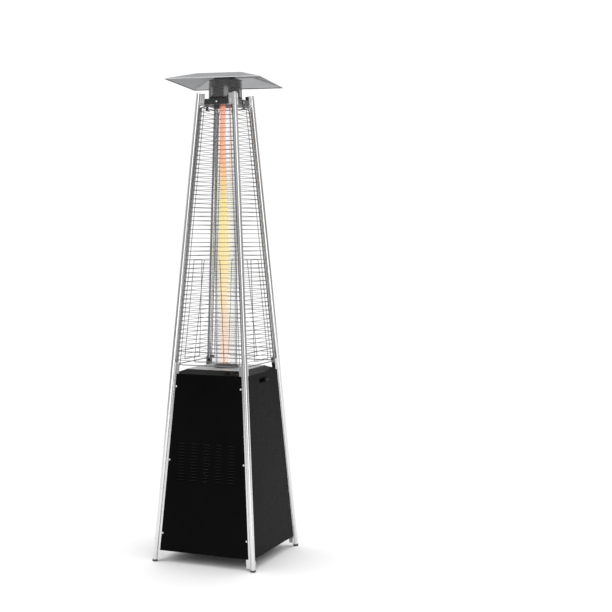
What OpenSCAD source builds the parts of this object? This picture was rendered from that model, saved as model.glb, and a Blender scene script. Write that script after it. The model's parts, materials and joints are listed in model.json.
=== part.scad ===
// Free-standing gas heater with a glass flame tube inside four leaning legs.
// Millimetres, +Z up. The origin is on the floor under the middle of the heater.
// The vented panel faces -Y, the hinged door faces +X, the controls are on +Y.

/* [Overall] */
// Width over the leg tubes at the floor
base_w = 520; // [440:5:640]
// Width over the leg tubes at their tops
top_w = 204.6; // [180:1:260]
// Height of the leg tops
leg_h = 2152; // [1700:10:2600]

/* [Legs] */
// Outside diameter of a leg tube
tube_d = 22; // [18:0.5:28]
// Wall of a leg tube
tube_wall = 1.2; // [0.8:0.1:2]
// Thickness of the plates welded along the tubes
plate_t = 1.5; // [1:0.1:2.5]
// Reach of those plates from the tube's axis
plate_reach = 32; // [29:0.5:38]
// Height where the lower plates start
plate_low = 14; // [8:1:30]
// How far the lower plates run above the cabinet
plate_rise = 53; // [40:1:80]
// Length of the upper plates, down from the leg tops
tab_len = 52; // [40:1:70]

/* [Feet] */
// Diameter of a foot cap
foot_d = 25; // [23:0.5:32]
// Height at which the tube stands in its foot cap
foot_h = 7; // [5:0.5:12]
// Bevel of a foot cap's lower edge
foot_round = 1.5; // [1:0.5:3]

/* [Cabinet] */
// Height of the panels' lower edge
panel_low = 52; // [40:1:90]
// Height of the panels' upper edge
cabinet_h = 867; // [760:1:1000]
// Thickness of the panels
panel_t = 1; // [0.8:0.1:1.6]
// Distance from a tube's axis to a panel's side edge
panel_inset = 20.6; // [14:0.1:24]
// Depth of the lip along a panel's lower edge
panel_lip = 12; // [6:0.5:13]
// Height of the shelf that the gas bottle stands on
shelf_z = 58; // [56:1:90]
// Thickness of the shelf
shelf_t = 1.5; // [1:0.1:3]
// Height of the shelf's rims
shelf_rim = 20; // [10:1:30]
// Inside radius of the ring that holds the bottle's foot
bottle_ring_r = 104; // [90:1:115]

/* [Vents] */
// Columns of vent slots
vent_cols = 5; // [3:1:6]
// Rows of vent slots
vent_rows = 13; // [6:1:16]
// Spacing of the columns
vent_col_pitch = 63.5; // [50:0.5:66]
// Spacing of the rows
vent_row_pitch = 13.8; // [11:0.1:16]
// Length of a vent slot
vent_l = 34; // [24:1:40]
// Width of a vent slot
vent_w = 5; // [3:0.5:7]
// Height of the lowest row
vent_z = 382; // [300:1:500]

/* [Shoulder] */
// Width of the flat top plate
top_plate_w = 274; // [220:2:300]
// Thickness of the top plate
top_plate_t = 1.5; // [1:0.1:3]
// Rise of the shoulder from the panels to the top plate
shoulder_rise = 18; // [10:1:40]
// Thickness of the shoulder's sheet
shoulder_t = 1.2; // [0.8:0.1:2]
// Depth of the shoulder's skirt behind the panels
skirt_depth = 22; // [18:1:26]

/* [Door] */
// Distance of each hinge from the middle of the door
hinge_spread = 130; // [80:1:170]
// Diameter of the hinge pins
hinge_pin_d = 6; // [4:0.5:8]
// Wall of the hinge barrels
hinge_wall = 1.8; // [1.2:0.1:3]
// Length of the fixed hinge barrel
hinge_barrel = 20; // [12:1:30]
// Running clearance of each pin and shaft, on the radius
run_gap = 0.05; // [0.02:0.01:0.09]
// Gap between moving parts and what they close against
close_gap = 0.3; // [0.2:0.05:0.6]
// Height of the latch
latch_z = 833; // [780:1:835]
// Length of the latch plate
latch_l = 82; // [70:1:100]
// Height of the latch plate
latch_w = 22; // [20:0.5:24]
// Diameter of the latch spindle
spindle_d = 8; // [6:0.5:10]
// Reach of the latch cam
cam_reach = 24; // [20:0.5:26]

/* [Controls] */
// Height of the control plate's middle
control_z = 780; // [740:1:800]
// Width of the control plate
control_w = 170; // [140:2:200]
// Height of the control plate
control_h = 70; // [60:1:80]
// Diameter of the control knob
knob_d = 44; // [34:1:50]
// Length of the control knob
knob_l = 24; // [18:1:32]
// How far the knob pushes in
knob_travel = 4; // [2:0.5:6]
// Diameter of the valve stem
stem_d = 6; // [5:0.5:8]
// Diameter of the igniter button
button_d = 14; // [10:0.5:18]
// How far the igniter button pushes in
button_travel = 6; // [3:0.5:8]
// Distance from the knob's axis to the button's axis
button_offset = 58; // [45:1:64]

/* [Burner and glass] */
// Outside diameter of the glass tube
glass_d = 104; // [90:1:120]
// Wall of the glass tube
glass_wall = 3; // [2:0.5:5]
// Diameter of the burner head
burner_d = 74; // [60:1:80]
// Height of the ring that the glass stands in
seat_h = 9; // [7:0.5:14]
// Width of that ring outside the glass
seat_rim = 9; // [6:0.5:12]
// Number of notches in that ring
seat_notches = 24; // [12:2:32]

/* [Top frame and head] */
// Height of the top frame's skirt
frame_h = 26; // [20:1:34]
// Diameter of the drum over the glass
head_d = 157; // [140:1:180]
// Height of that drum with its lid
head_h = 94; // [70:1:110]
// Height of the lid over the drum
lid_h = 18; // [12:1:26]
// Width of the reflector over its rim
reflector_w = 443; // [360:2:520]
// Width of the reflector's flat middle
reflector_flat = 209; // [180:1:240]
// Drop from the flat middle to the rim
reflector_drop = 34.5; // [20:0.5:60]
// Thickness of the reflector's sheet
reflector_t = 1; // [0.8:0.1:2]
// Turn of the reflector on the round head, in degrees
reflector_turn = 9.6; // [0:0.1:45]
// Gap between the drum's lid and the reflector
spacer_h = 9.5; // [8:0.5:30]

/* [Guards] */
// Diameter of the guards' frame rod
rod_d = 4.6; // [4:0.1:6]
// Diameter of the guards' cross wires
wire_d = 2.6; // [2:0.1:3.5]
// Spacing of the cross wires
wire_pitch = 20; // [16:1:30]
// Distance from a tube's axis to a guard's outer rod
guard_inset = 16; // [15:0.5:19]
// Distance between a guard's two side rods
guard_pair = 15; // [11:0.5:20]
// Gap between the cabinet and a guard's lower rod
guard_gap_low = 41; // [34:1:50]
// Gap between the top frame and a guard's upper rod
guard_gap_high = 9; // [6:0.5:14]
// Radius of a guard's corners
guard_corner = 20; // [12:1:30]
// Height of the stiffening loop on each guard
loop_h = 468; // [300:1:600]
// Width of that loop at its foot
loop_foot_w = 152; // [120:2:200]
// Width of that loop at its top
loop_top_w = 80; // [50:2:110]

/* [Hidden] */

$fn = 48;
overlap = 0.5;          // how far a cutter runs past the face it cuts
fit_gap = 0.2;          // clearance round parts that are fixed together

base_half = base_w / 2 - tube_d / 2;
top_half = top_w / 2 - tube_d / 2;
lean = atan((base_half - top_half) / leg_h);
leg_norm = sqrt(1 + 2 * pow(tan(lean), 2));

// Half the distance between leg axes at height z, and the length up a face to it
function axis_half(z) = base_half - z * tan(lean);
function up(z) = z / cos(lean);
// Half the width between leg axes at a distance y up a face
function face_half(y) = base_half - y * sin(lean);
// The point at x across, y up and n out of the control face, in the heater's frame
function control_point(x, y, n) = [
    -x,
    base_half - y * sin(lean) + n * cos(lean),
    y * cos(lean) + n * sin(lean)
];

// Draws in the plane of a face: x across, y up the slope, z outwards
module on_face(turn)
{
    rotate([0, 0, turn]) translate([0, -base_half, 0]) rotate([90 - lean, 0, 0]) children();
}

// Draws along a leg's axis; its plates lie along -X and +Y
module on_leg(turn)
{
    rotate([0, 0, turn]) translate([base_half, -base_half, 0])
        rotate([-asin(tan(lean) / leg_norm), -lean, 0]) children();
}

// A round bar between two points
module bar(a, b, d)
{
    v = b - a;
    translate(a) rotate([0, acos(v.z / norm(v)), atan2(v.y, v.x)]) cylinder(d = d, h = norm(v));
}

// A pipe along a list of points, with slightly fatter ball corners
module pipe_run(points, d)
{
    for (i = [1:len(points) - 1]) bar(points[i - 1], points[i], d);
    if (len(points) > 2) for (i = [1:len(points) - 2]) translate(points[i]) sphere(d = d * 1.12);
}

// A square block whose half-width follows [half width, height] points from low to high
module square_block(points)
{
    reach = 2 * max([for (p = points) p.x]) + 2;
    n = len(points);
    outline = concat(points, [for (i = [1:n]) [-points[n - i].x, points[n - i].y]]);
    intersection() {
        rotate([90, 0, 0]) linear_extrude(reach, center = true) polygon(outline);
        rotate([90, 0, 90]) linear_extrude(reach, center = true) polygon(outline);
    }
}

// A flat closed loop of round wire with bent corners
module bent_loop(points, radii, d)
{
    n = len(points);
    to_last = [for (i = [0:n - 1]) let (v = points[(i + n - 1) % n] - points[i]) v / norm(v)];
    to_next = [for (i = [0:n - 1]) let (v = points[(i + 1) % n] - points[i]) v / norm(v)];
    half_a = [for (i = [0:n - 1]) acos(to_last[i] * to_next[i]) / 2];
    back = [for (i = [0:n - 1]) radii[i] / tan(half_a[i])];
    for (i = [0:n - 1]) {
        j = (i + 1) % n;
        a = points[i] + to_next[i] * back[i];
        b = points[j] + to_last[j] * back[j];
        bar([a.x, a.y, 0], [b.x, b.y, 0], d);
        middle = (to_last[i] + to_next[i]) / norm(to_last[i] + to_next[i]);
        centre = points[i] + middle * radii[i] / sin(half_a[i]);
        start = points[i] + to_last[i] * back[i] - centre;
        translate([centre.x, centre.y, 0]) rotate([0, 0, atan2(start.y, start.x)])
            rotate_extrude(angle = 180 - 2 * half_a[i]) translate([radii[i], 0]) circle(d = d * 1.03);
    }
}

// The four leg tubes and a gap round them, to cut sheet corners clear of them
module tube_clearance()
{
    for (turn = [0:90:270]) on_leg(turn) cylinder(r = tube_d / 2 + fit_gap, h = leg_h * leg_norm);
}

// A pan-head screw standing on z = 0, its shank going down
module pan_screw(head_d, shank_d, shank_l)
{
    head_h = head_d * 0.28;
    cylinder(d1 = head_d, d2 = head_d * 0.7, h = head_h);
    translate([0, 0, -shank_l]) cylinder(d = shank_d, h = shank_l + head_h / 2);
}

// ---------------------------------------------------------------- legs

screw_d = 4;
screw_inset = 26;
screw_zs = [panel_low + 80, (panel_low + cabinet_h + 22) / 2, cabinet_h - 58];
frame_top = leg_h - 25;
frame_low = frame_top - frame_h;
frame_t = 1.5;
hook_screw_z = frame_low + frame_h / 2;
bolt_inset = 23;
bolt_d = 5;
bolt_zs = [frame_low + frame_h * 0.48, frame_top - 3.6];
plate_top = cabinet_h + plate_rise;
tab_low = leg_h - tab_len;
hinge_y = up(panel_low) + 9;
hinge_n = -12;
door_corner_drop = 19;  // how far the door's lower corners swing down below its hinges

module plate_section()
{
    root = tube_d / 2 - tube_wall / 2;
    translate([-plate_reach, 0]) square([plate_reach - root, plate_t]);
    translate([-plate_t, root]) square([plate_t, plate_reach - root]);
}

// Holes on one side of a face's plates, and the notch that the door's corner swings into;
// side is 1 for the right-hand leg
module plate_holes(turn, side)
{
    fixed = turn % 360 != 90;
    on_face(turn) {
        if (fixed) for (z = screw_zs) {
            translate([side * (face_half(up(z)) - screw_inset), up(z), -plate_t - overlap])
                cylinder(d = screw_d + fit_gap, h = plate_t + 2 * overlap);
        }
        for (z = bolt_zs) {
            translate([side * (face_half(up(z)) - bolt_inset), up(z), -plate_t - overlap])
                cylinder(d = bolt_d + fit_gap, h = plate_t + 2 * overlap);
        }
        translate([side * (face_half(up(hook_z)) - bolt_inset), up(hook_z), -plate_t - overlap])
            cylinder(d = screw_d + fit_gap, h = plate_t + 2 * overlap);
        if (!fixed) {
            middle = side * (face_half(hinge_y) - (plate_reach + panel_inset) / 2);
            width = plate_reach - panel_inset + 6;
            translate([middle - width / 2, hinge_y - door_corner_drop, -plate_t - 1])
                cube([width, door_corner_drop + 1, plate_t + 2]);
        }
    }
}

module leg(turn)
{
    color("gainsboro") difference() {
        on_leg(turn) union() {
            translate([0, 0, foot_h * leg_norm]) linear_extrude((leg_h - foot_h) * leg_norm)
                difference() {
                    circle(d = tube_d);
                    circle(d = tube_d - 2 * tube_wall);
                }
            translate([0, 0, plate_low * leg_norm]) linear_extrude((plate_top - plate_low) * leg_norm)
                plate_section();
            translate([0, 0, tab_low * leg_norm]) linear_extrude(tab_len * leg_norm)
                plate_section();
        }
        plate_holes(turn, 1);
        plate_holes(turn + 90, -1);
    }
}

// Disc on the floor, a leaning collar round the tube's end and a plug up the tube
module foot_caps()
{
    disc_h = foot_h * 0.7;
    color("dimgray") for (turn = [0:90:270]) {
        rotate([0, 0, turn]) translate([base_half, -base_half, 0]) {
            cylinder(d1 = foot_d - 2 * foot_round, d2 = foot_d, h = foot_round);
            translate([0, 0, foot_round]) cylinder(d = foot_d, h = disc_h - foot_round);
        }
        on_leg(turn) {
            translate([0, 0, foot_h * 0.4]) cylinder(d = foot_d - 1.6, h = foot_h * (leg_norm - 0.4));
            translate([0, 0, foot_h * 0.6]) cylinder(d = tube_d - 2 * tube_wall - fit_gap, h = foot_h + 16);
        }
    }
}

// ---------------------------------------------------------------- cabinet

panel_y0 = up(panel_low);
panel_y1 = up(cabinet_h);

// A leaning sheet between two legs with a lip along its foot, its inner face at z = inner
module panel_sheet(inner, lip)
{
    w0 = face_half(panel_y0) - panel_inset;
    w1 = face_half(panel_y1) - panel_inset;
    lip_w = w0 - plate_reach + panel_inset - 4;
    translate([0, 0, inner]) linear_extrude(panel_t)
        polygon([[-w0, panel_y0], [w0, panel_y0], [w1, panel_y1], [-w1, panel_y1]]);
    translate([-lip_w, panel_y0, inner - lip]) cube([2 * lip_w, panel_t, lip + panel_t / 2]);
}

// Holes for the screws along both side edges of a fixed panel
module panel_holes()
{
    for (z = screw_zs, side = [-1, 1]) {
        translate([side * (face_half(up(z)) - screw_inset), up(z), -overlap])
            cylinder(d = screw_d + fit_gap, h = panel_t + 2 * overlap);
    }
}

module vent_slots()
{
    for (i = [0:vent_cols - 1], j = [0:vent_rows - 1]) {
        translate([(i - (vent_cols - 1) / 2) * vent_col_pitch, up(vent_z + j * vent_row_pitch), -overlap])
            linear_extrude(panel_t + 2 * overlap) {
                square([vent_l - vent_w, vent_w], center = true);
                for (s = [-1, 1]) translate([s * (vent_l - vent_w) / 2, 0]) circle(d = vent_w, $fn = 16);
            }
    }
}

module front_panel()
{
    color("#151517") on_face(0) difference() {
        panel_sheet(0, panel_lip);
        panel_holes();
        vent_slots();
    }
}

module left_panel()
{
    color("#151517") on_face(270) difference() {
        panel_sheet(0, panel_lip);
        panel_holes();
    }
}

module back_panel()
{
    color("#151517") on_face(180) difference() {
        panel_sheet(0, panel_lip);
        panel_holes();
        translate([0, up(control_z), -overlap]) cylinder(d = bush_d + 4, h = panel_t + 2 * overlap);
        translate([button_offset, up(control_z), -overlap])
            cylinder(d = igniter_d + 2 * fit_gap, h = panel_t + 2 * overlap);
    }
}

module panel_screws()
{
    color("silver") for (turn = [0, 180, 270]) on_face(turn)
        for (z = screw_zs, side = [-1, 1]) {
            translate([side * (face_half(up(z)) - screw_inset), up(z), panel_t]) pan_screw(9, screw_d, 9);
        }
}

// Inner faces of the leg plates at height z
function inner_half(z) = axis_half(z) - plate_t / cos(lean);

shelf_half = inner_half(shelf_z + shelf_rim) - 2 * fit_gap;
hinge_r = hinge_pin_d / 2 + hinge_wall;
hinge_x = base_half - hinge_y * sin(lean) + hinge_n * cos(lean);
hinge_z = hinge_y * cos(lean) + hinge_n * sin(lean);
door_swing_r = 15.5;
shelf_door_edge = hinge_x - door_swing_r - 1;

module base_shelf()
{
    corner = 16;
    w = shelf_half;
    e = shelf_door_edge;
    color("#1c1c1e") difference() {
        union() {
            translate([0, 0, shelf_z]) linear_extrude(shelf_t)
                polygon([
                    [-w + corner, -w], [e, -w], [e, w], [-w + corner, w],
                    [-w, w - corner], [-w, -w + corner]
                ]);
            translate([-w, -w + corner, shelf_z]) cube([shelf_t, 2 * (w - corner), shelf_rim]);
            for (s = [-1, 1]) translate([-w + corner, s * (w - shelf_t / 2) - shelf_t / 2, shelf_z])
                cube([w - corner + e, shelf_t, shelf_rim]);
        }
        for (a = [0:45:315]) rotate([0, 0, a]) translate([150, 0, shelf_z - overlap])
            cylinder(d = 16, h = shelf_t + 2 * overlap);
    }
}

// A plate under each corner of the shelf, welded to the leg tube
module shelf_brackets()
{
    reach = axis_half(shelf_z) - 1;
    inner = shelf_door_edge - 12;
    arm = 22;
    t = 2;
    color("gainsboro") difference() {
        for (turn = [0:90:270]) rotate([0, 0, turn]) translate([0, 0, shelf_z - t]) linear_extrude(t)
            polygon([
                [inner - arm, -shelf_half], [reach - 3, -shelf_half], [reach - 3, -shelf_half + 12],
                [inner + 10, -shelf_half + 12], [inner + 10, -inner], [shelf_half - 12 - arm, -inner + arm],
                [inner - arm, -inner + arm]
            ]);
        for (turn = [0:90:270]) on_leg(turn) cylinder(d = tube_d, h = 2 * shelf_z);
    }
}

module bottle_ring()
{
    color("#1c1c1e") translate([0, 0, shelf_z + shelf_t]) linear_extrude(12) difference() {
        circle(r = bottle_ring_r + 2);
        circle(r = bottle_ring_r);
    }
}

// ---------------------------------------------------------------- shoulder and top plate

shoulder_top = cabinet_h + shoulder_rise;
plate_z = shoulder_top;
cup_r = glass_d / 2 + 4;

module shoulder()
{
    w0 = inner_half(cabinet_h) - 2 * fit_gap;
    w1 = top_plate_w / 2;
    t = shoulder_t;
    color("#1f1f21") difference() {
        square_block([[w0, cabinet_h], [w1, shoulder_top]]);
        square_block([[w0 - t, cabinet_h - t / 2], [w1 - 2 * t, shoulder_top - t]]);
        translate([0, 0, cabinet_h]) cylinder(r = cup_r + fit_gap, h = shoulder_rise + 1);
        tube_clearance();
    }
}

// Four strips that hang from the shoulder behind the panels; the latch catches on one
module shoulder_skirt()
{
    w = inner_half(cabinet_h) - 2 * fit_gap;
    half = w - tube_d / 2 - 3;
    color("#1f1f21") for (turn = [0:90:270]) rotate([0, 0, turn])
        translate([w - shoulder_t, -half, cabinet_h - skirt_depth]) cube([shoulder_t, 2 * half, skirt_depth]);
}

module top_plate()
{
    w = top_plate_w / 2;
    color("silver") difference() {
        translate([-w, -w, plate_z]) cube([2 * w, 2 * w, top_plate_t]);
        translate([0, 0, plate_z - overlap]) cylinder(r = seat_in_r, h = top_plate_t + 2 * overlap);
    }
}

// ---------------------------------------------------------------- door

cup_l = 32;
cup_w = 14;
cup_depth = 11;
cup_x = -latch_l / 2 + cup_l / 2 + 5;
cup_t = 1.2;
spindle_x = latch_l / 4;
latch_y = up(latch_z);
door_inner = close_gap;
door_outer = close_gap + panel_t;
latch_t = 2;

module door_panel()
{
    color("#1d1d1f") on_face(90) difference() {
        panel_sheet(door_inner, 7);
        translate([cup_x - cup_l / 2 - cup_t - fit_gap, latch_y - cup_w / 2 - cup_t - fit_gap, 0])
            cube([cup_l + 2 * (cup_t + fit_gap), cup_w + 2 * (cup_t + fit_gap), door_outer + overlap]);
        translate([spindle_x, latch_y, 0]) cylinder(d = spindle_d + 4, h = door_outer + overlap);
    }
}

// Oblong cover with a finger cup at one end and the spindle's bush at the other
module latch_plate()
{
    cup_in = [cup_x - cup_l / 2, latch_y - cup_w / 2];
    color("#0c0c0d") on_face(90) difference() {
        union() {
            translate([0, latch_y, door_outer]) linear_extrude(latch_t) {
                square([latch_l - 8, latch_w], center = true);
                square([latch_l, latch_w - 8], center = true);
                for (a = [-1, 1], b = [-1, 1])
                    translate([a * (latch_l / 2 - 4), b * (latch_w / 2 - 4)]) circle(4, $fn = 24);
            }
            translate([cup_in.x - cup_t, cup_in.y - cup_t, door_outer - cup_depth])
                cube([cup_l + 2 * cup_t, cup_w + 2 * cup_t, cup_depth + overlap]);
            translate([spindle_x, latch_y, door_outer - 5]) cylinder(d = spindle_d + 3.6, h = 5 + overlap);
        }
        translate([cup_in.x, cup_in.y, door_outer - cup_depth + cup_t])
            cube([cup_l, cup_w, cup_depth + latch_t]);
        translate([spindle_x, latch_y, door_outer - 6])
            cylinder(r = spindle_d / 2 + run_gap, h = 6 + latch_t + overlap);
    }
}

cam_n = -9.5;
cam_t = 2;

// Oval turning grip on its spindle
module latch_knob()
{
    grip_l = 34;
    grip_w = 14;
    color("#2b2b2d") on_face(90) translate([spindle_x, latch_y, 0]) {
        translate([0, 0, door_outer + latch_t + close_gap]) linear_extrude(9) {
            square([grip_l - grip_w, grip_w], center = true);
            for (s = [-1, 1]) translate([s * (grip_l - grip_w) / 2, 0]) circle(d = grip_w);
        }
        translate([0, 0, cam_n + cam_t]) cylinder(d = spindle_d, h = door_outer + latch_t - cam_n - cam_t + 1);
        translate([0, 0, cam_n - 3]) cylinder(d = spindle_d * 0.6, h = cam_t + 4);
    }
}

module latch_cam()
{
    color("silver") on_face(90) translate([spindle_x, latch_y, cam_n]) difference() {
        linear_extrude(cam_t) {
            circle(d = 14);
            translate([0, -6]) square([cam_reach - 6, 12]);
            translate([cam_reach - 6, 0]) circle(d = 12);
        }
        translate([0, 0, -overlap]) cylinder(d = spindle_d * 0.6, h = cam_t + 2 * overlap);
    }
}

// Barrels and arms that carry the door, two to a hinge
module hinge_leaves()
{
    arm_t = 2.5;
    barrel = 10;
    color("silver") on_face(90) for (x = [-1, 1] * hinge_spread, s = [-1, 1]) {
        x0 = s > 0 ? x + hinge_barrel / 2 + fit_gap * 2 : x - hinge_barrel / 2 - fit_gap * 2 - barrel;
        difference() {
            union() {
                translate([x0, hinge_y, hinge_n]) rotate([0, 90, 0]) cylinder(r = hinge_r, h = barrel);
                translate([x0, hinge_y - arm_t / 2, hinge_n]) cube([barrel, arm_t, door_inner - hinge_n]);
                translate([x0, hinge_y - arm_t / 2, door_inner - 2]) cube([barrel, 24, 2]);
            }
            translate([x0 - overlap, hinge_y, hinge_n]) rotate([0, 90, 0])
                cylinder(d = hinge_pin_d, h = barrel + 2 * overlap);
        }
    }
}

module hinge_pins()
{
    pin_l = hinge_barrel + 20 + 4 * fit_gap;
    color("silver") on_face(90) for (x = [-1, 1] * hinge_spread)
        translate([x - pin_l / 2, hinge_y, hinge_n]) rotate([0, 90, 0]) cylinder(d = hinge_pin_d, h = pin_l);
}

// Fixed barrels on plates that lie on the shelf
module hinge_brackets()
{
    t = 2;
    low = shelf_z + shelf_t;
    color("silver") for (y = [-1, 1] * hinge_spread) difference() {
        union() {
            translate([hinge_x, y - hinge_barrel / 2, hinge_z]) rotate([-90, 0, 0])
                cylinder(r = hinge_r, h = hinge_barrel);
            translate([hinge_x - 40, y - hinge_barrel / 2, low]) cube([40, hinge_barrel, t]);
        }
        translate([hinge_x, y - hinge_barrel / 2 - overlap, hinge_z]) rotate([-90, 0, 0])
            cylinder(r = hinge_pin_d / 2 + run_gap, h = hinge_barrel + 2 * overlap);
    }
}

// ---------------------------------------------------------------- controls

plate_out = panel_t + 1.5;
bush_d = 14;
igniter_d = button_d + 4;
control_y = up(control_z);
valve_front = -14;
valve_depth = 36;
stem_reach = 26;
knob_base = plate_out + knob_travel + 1;

module control_plate()
{
    corner = 8;
    color("silver") on_face(180) translate([0, control_y, panel_t]) difference() {
        linear_extrude(1.5) {
            square([control_w - 2 * corner, control_h], center = true);
            square([control_w, control_h - 2 * corner], center = true);
            for (a = [-1, 1], b = [-1, 1])
                translate([a * (control_w / 2 - corner), b * (control_h / 2 - corner)]) circle(corner);
        }
        translate([0, 0, -overlap]) cylinder(d = bush_d + 2 * fit_gap, h = 1.5 + 2 * overlap);
        translate([button_offset, 0, -overlap]) cylinder(d = igniter_d + 2 * fit_gap, h = 1.5 + 2 * overlap);
    }
}

// Round knob with a raised pointer across its face
module control_knob()
{
    color("#111113") on_face(180) translate([0, control_y, knob_base]) difference() {
        union() {
            cylinder(d = knob_d, h = knob_l * 0.35);
            cylinder(d1 = knob_d * 0.86, d2 = knob_d * 0.78, h = knob_l * 0.8);
            translate([-3, -knob_d * 0.36, 0]) cube([6, knob_d * 0.72, knob_l]);
        }
        translate([0, 0, -overlap]) cylinder(d = stem_d, h = knob_l * 0.6 + overlap);
    }
}

module valve_stem()
{
    tip = knob_base + knob_l * 0.55;
    color("goldenrod") on_face(180) translate([0, control_y, valve_front - stem_reach])
        cylinder(d = stem_d, h = tip - valve_front + stem_reach);
}

// Ring on the stem that the return spring pushes against; it slides and does not turn
module stem_collar()
{
    color("silver") on_face(180) translate([0, control_y, -7]) difference() {
        cylinder(d = bush_d - 4, h = 3);
        translate([0, 0, -overlap]) cylinder(r = stem_d / 2 + run_gap, h = 3 + 2 * overlap);
    }
}

// Valve block with a hollow nose that the stem and its collar slide in
module gas_valve()
{
    block_w = 44;
    block_h = 40;
    color("goldenrod") on_face(180) translate([0, control_y, 0]) difference() {
        union() {
            translate([-block_w / 2, -block_h / 2, valve_front - valve_depth])
                cube([block_w, block_h, valve_depth]);
            translate([0, 0, valve_front - 1]) cylinder(d = bush_d, h = plate_out - 0.2 - valve_front + 1);
        }
        translate([0, 0, valve_front - stem_reach - knob_travel - 2])
            cylinder(r = stem_d / 2 + run_gap, h = 60);
        translate([0, 0, -14]) cylinder(d = bush_d - 4 + 2 * run_gap, h = 12);
    }
}

inlet_r = 7.94;
inlet_l = 16;
valve_out = control_point(0, control_y - 10, valve_front - valve_depth);
inlet_top = control_point(0, control_y - 20, valve_front - valve_depth / 2);

// Flare fitting for the hose, pointing down into the bottle bay
module gas_inlet()
{
    color("goldenrod") translate([inlet_top.x, inlet_top.y, inlet_top.z]) {
        translate([0, 0, -7]) cylinder(d = 22, h = 8, $fn = 6);
        translate([0, 0, -7 - inlet_l]) difference() {
            cylinder(r = inlet_r, h = inlet_l);
            translate([0, 0, -overlap]) cylinder(d = 6, h = inlet_l * 0.7);
        }
    }
}

jet_z = valve_out.z;
burner_z = plate_z;

// Straight pipe from the valve to the jet under the burner
module supply_pipe()
{
    color("peru") bar(valve_out, [0, jet_body_r - 2, jet_z], 8);
}

jet_body_r = 11;

module gas_jet()
{
    color("goldenrod") {
        translate([0, 0, jet_z - 9]) cylinder(r = jet_body_r, h = 18);
        translate([0, 0, jet_z + 7]) cylinder(d = mixer_d, h = 2);
        translate([0, 0, jet_z + 8]) cylinder(d = 8, h = 8);
    }
}

mixer_d = 30;
mixer_low = jet_z + 9;
mixer_top = burner_z;

// Venturi over the jet with four air windows at its foot
module mixer_tube()
{
    color("silver") difference() {
        translate([0, 0, mixer_low]) cylinder(d = mixer_d, h = mixer_top - mixer_low);
        translate([0, 0, mixer_low - overlap]) cylinder(d = mixer_d - 3, h = mixer_top - mixer_low + 1);
        for (a = [45, 135]) rotate([0, 0, a]) translate([-mixer_d, -5, mixer_low + 8])
            cube([2 * mixer_d, 10, 16]);
    }
}

// Domed head with two rings of ports round its side
module burner_head()
{
    h = 14;
    color("dimgray") translate([0, 0, burner_z - 2]) difference() {
        union() {
            cylinder(d = burner_d, h = h);
            translate([0, 0, h]) cylinder(d1 = burner_d, d2 = burner_d * 0.5, h = 5);
        }
        translate([0, 0, -overlap]) cylinder(d = mixer_d, h = 2 + overlap);
        translate([0, 0, 2]) cylinder(d = burner_d - 6, h = h - 3);
        for (i = [0:17]) rotate([0, 0, i * 20]) translate([burner_d / 2 - 5, 0, h * 0.55])
            rotate([0, 90, 0]) cylinder(d = 4, h = 8, $fn = 16);
    }
}

// Sheet pan that hangs under the top plate and holds the burner
module burner_cup()
{
    depth = 46;
    color("silver") difference() {
        translate([0, 0, burner_z - depth]) cylinder(r = cup_r, h = depth);
        translate([0, 0, burner_z - depth + 1.5]) cylinder(r = cup_r - 1.5, h = depth);
        translate([0, 0, burner_z - depth - overlap]) cylinder(d = mixer_d + 2 * fit_gap, h = 3);
        for (p = [pilot_at, couple_at, spark_at])
            translate([p.x, p.y, burner_z - depth - overlap]) cylinder(d = 12, h = 3);
    }
}

seat_in_r = glass_d / 2 - glass_wall - 3;
jet_ring_r = (burner_d / 2 + seat_in_r) / 2;
pilot_at = [jet_ring_r, 0, 0];
couple_at = [-jet_ring_r * cos(60), jet_ring_r * sin(60), 0];
spark_at = [jet_ring_r * cos(60), jet_ring_r * sin(60), 0];
rise_z = burner_z - 60;

module pilot_burner()
{
    color("silver") translate([pilot_at.x, pilot_at.y, rise_z]) difference() {
        union() {
            cylinder(d = 4, h = 62);
            translate([0, 0, 50]) cylinder(d = 7, h = 22);
        }
        translate([0, 0, 62]) cylinder(d = 4, h = 12);
    }
}

module pilot_pipe()
{
    start = control_point(-14, control_y + 12, valve_front - valve_depth);
    color("peru") pipe_run([start, start + [0, -30, 0], [pilot_at.x, pilot_at.y, rise_z - 12],
        [pilot_at.x, pilot_at.y, rise_z]], 4);
}

module thermocouple()
{
    start = control_point(14, control_y + 12, valve_front - valve_depth);
    foot = [couple_at.x, couple_at.y, rise_z];
    color("darkgoldenrod") {
        pipe_run([start, start + [0, -24, 0], foot, foot + [0, 0, 50]], 3);
        translate(foot + [0, 0, 48]) cylinder(d = 5.5, h = 30);
    }
}

module igniter_electrode()
{
    color("ivory") {
        translate([spark_at.x, spark_at.y, rise_z]) cylinder(d = 5, h = 66);
        translate([spark_at.x, spark_at.y, rise_z + 64]) cylinder(d = 2, h = 14);
    }
}

body_back = -34;

// Barrel of the spark generator, with a flange outside and a bore for its button
module igniter_body()
{
    color("#19191b") on_face(180) translate([button_offset, control_y, 0]) difference() {
        union() {
            translate([0, 0, body_back]) cylinder(d = igniter_d, h = plate_out - body_back);
            translate([0, 0, plate_out]) cylinder(d = igniter_d + 7, h = 3);
        }
        translate([0, 0, plate_out - 14]) cylinder(r = button_d / 2 + run_gap, h = 20);
    }
}

module igniter_nut()
{
    color("silver") on_face(180) translate([button_offset, control_y, -4]) difference() {
        cylinder(d = igniter_d + 9, h = 4, $fn = 6);
        translate([0, 0, -overlap]) cylinder(d = igniter_d, h = 4 + 2 * overlap);
    }
}

module igniter_button()
{
    low = plate_out - 14 + button_travel + 0.5;
    color("firebrick") on_face(180) translate([button_offset, control_y, low]) {
        cylinder(d = button_d, h = 14 + 3 - 0.5);
        translate([0, 0, 16.5]) cylinder(d1 = button_d, d2 = button_d - 3, h = 1.5);
    }
}

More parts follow.
